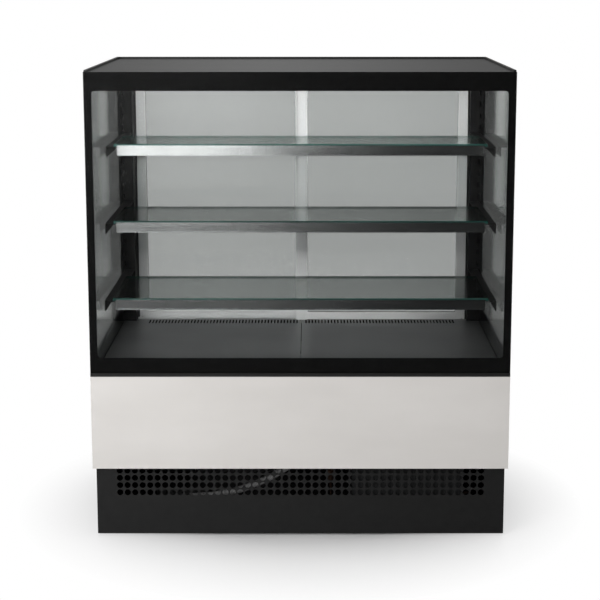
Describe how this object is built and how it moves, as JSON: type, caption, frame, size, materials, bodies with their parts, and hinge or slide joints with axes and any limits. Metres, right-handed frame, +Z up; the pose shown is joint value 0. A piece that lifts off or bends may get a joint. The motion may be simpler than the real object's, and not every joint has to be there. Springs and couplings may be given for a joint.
{
  "type": "pastry display case",
  "caption": "Refrigerated glass display case: glazed front and sides, glass shelves over a slotted deck, rear sliding doors, plain fascia and a perforated plinth.",
  "frame": {"origin": "middle of the footprint on the floor, under the levelling feet", "axes": "+Z up, -Y towards the customer, +X to the customer's right"},
  "size_m": [1.2, 0.78, 1.364],
  "materials": {
    "black_steel": "matt black powder coat",
    "post_steel": "satin black powder coat",
    "galvanised_steel": "zinc coated",
    "foot_plastic": "moulded, matt",
    "compressor_paint": "gloss black enamel",
    "rubber": "matt",
    "coil_fins": "dark coated fins",
    "fan_plastic": "moulded, matt",
    "copper": "dull drawn copper",
    "hose_plastic": "ribbed grey plastic",
    "tray_plastic": "moulded, matt",
    "tub_liner": "coated sheet over foam",
    "fascia_steel": "fine satin",
    "control_plastic": "fine textured black",
    "deck_steel": "satin stainless",
    "clear_glass": "clear, polished",
    "border_print": "gloss black print behind glass",
    "ceiling_liner": "satin grey",
    "lamp_lens": "opal lens in an aluminium channel",
    "door_aluminium": "satin anodised",
    "door_glass": "grey tinted double glazing",
    "shelf_glass": "clear with green edges",
    "rail_metal": "satin dark anodised"
  },
  "bodies": {
    "case": {"ceiling_panel": "ceiling_liner", "chassis": "galvanised_steel", "compressor": "compressor_paint", "compressor_mounts": "rubber", "condenser_coil": "coil_fins", "condenser_fan_motor": "compressor_paint", "condenser_shroud": "black_steel", "control_housing": "control_plastic", "deck_panel_left": "deck_steel", "deck_panel_right": "deck_steel", "door_sill": "door_aluminium", "door_top_track": "door_aluminium", "drain_hose": "hose_plastic", "electrical_box": "black_steel", "evaporation_tray": "tray_plastic", "evaporator_coil": "coil_fins", "evaporator_fan_plate": "galvanised_steel", "fascia_panel": "fascia_steel", "front_border": "border_print", "front_grille": "black_steel", "front_inner_pane": "clear_glass", "front_outer_pane": "clear_glass", "glass_sill": "black_steel", "insulated_tub": "tub_liner", "led_lamp": "lamp_lens", "plinth_side_left": "black_steel", "plinth_side_right": "black_steel", "rear_grille": "black_steel", "rear_panel": "black_steel", "rear_post_left": "post_steel", "rear_post_right": "post_steel", "refrigerant_pipes": "copper", "roof_panel": "black_steel", "shelf_brackets": "black_steel", "shelf_glass_bottom": "shelf_glass", "shelf_glass_middle": "shelf_glass", "shelf_glass_top": "shelf_glass", "shelf_rail_bottom": "rail_metal", "shelf_rail_middle": "rail_metal", "shelf_rail_top": "rail_metal", "side_borders": "border_print", "side_panel_left": "black_steel", "side_panel_right": "black_steel", "side_panes_left": "clear_glass", "side_panes_right": "clear_glass"},
    "left_door": {"left_door_frame": "door_aluminium", "left_door_glass": "door_glass"},
    "right_door": {"right_door_frame": "door_aluminium", "right_door_glass": "door_glass"},
    "condenser_fan": {"condenser_fan": "fan_plastic"},
    "evaporator_fan_left": {"evaporator_fan_left": "fan_plastic"},
    "evaporator_fan_right": {"evaporator_fan_right": "fan_plastic"},
    "foot_front_left": {"foot_front_left": "foot_plastic"},
    "foot_front_right": {"foot_front_right": "foot_plastic"},
    "foot_rear_left": {"foot_rear_left": "foot_plastic"},
    "foot_rear_right": {"foot_rear_right": "foot_plastic"},
    "key_set": {"key_set": "control_plastic"},
    "key_down": {"key_down": "control_plastic"},
    "key_up": {"key_up": "control_plastic"},
    "light_rocker": {"light_rocker": "control_plastic"}
  },
  "joints": [
    {"name": "left_door_slide", "type": "slide", "parent": "case", "child": "left_door", "axis": [1, 0, 0], "range_m": [0, 0.525]},
    {"name": "right_door_slide", "type": "slide", "parent": "case", "child": "right_door", "axis": [1, 0, 0], "range_m": [-0.525, 0]},
    {"name": "condenser_fan_spin", "type": "hinge", "parent": "case", "child": "condenser_fan", "pos_m": [0.31, -0.2715, 0.1312], "axis": [0, 1, 0], "continuous": true},
    {"name": "evaporator_fan_left_spin", "type": "hinge", "parent": "case", "child": "evaporator_fan_left", "pos_m": [-0.22, -0.06, 0.405], "axis": [0, 1, 0], "continuous": true},
    {"name": "evaporator_fan_right_spin", "type": "hinge", "parent": "case", "child": "evaporator_fan_right", "pos_m": [0.22, -0.06, 0.405], "axis": [0, 1, 0], "continuous": true},
    {"name": "light_rocker_tilt", "type": "hinge", "parent": "case", "child": "light_rocker", "pos_m": [0.2572, 0.3835, 0.165], "axis": [1, 0, 0], "range_deg": [0, 16]},
    {"name": "key_set_press", "type": "slide", "parent": "case", "child": "key_set", "axis": [0, -1, 0], "range_m": [0, 0.0015], "stiffness_N_per_m": 300, "springref_m": -0.001},
    {"name": "key_down_press", "type": "slide", "parent": "case", "child": "key_down", "axis": [0, -1, 0], "range_m": [0, 0.0015], "stiffness_N_per_m": 300, "springref_m": -0.001},
    {"name": "key_up_press", "type": "slide", "parent": "case", "child": "key_up", "axis": [0, -1, 0], "range_m": [0, 0.0015], "stiffness_N_per_m": 300, "springref_m": -0.001},
    {"name": "foot_front_left_height", "type": "slide", "parent": "case", "child": "foot_front_left", "axis": [0, 0, -1], "range_m": [0, 0.02]},
    {"name": "foot_front_right_height", "type": "slide", "parent": "case", "child": "foot_front_right", "axis": [0, 0, -1], "range_m": [0, 0.02]},
    {"name": "foot_rear_left_height", "type": "slide", "parent": "case", "child": "foot_rear_left", "axis": [0, 0, -1], "range_m": [0, 0.02]},
    {"name": "foot_rear_right_height", "type": "slide", "parent": "case", "child": "foot_rear_right", "axis": [0, 0, -1], "range_m": [0, 0.02]}
  ]
}
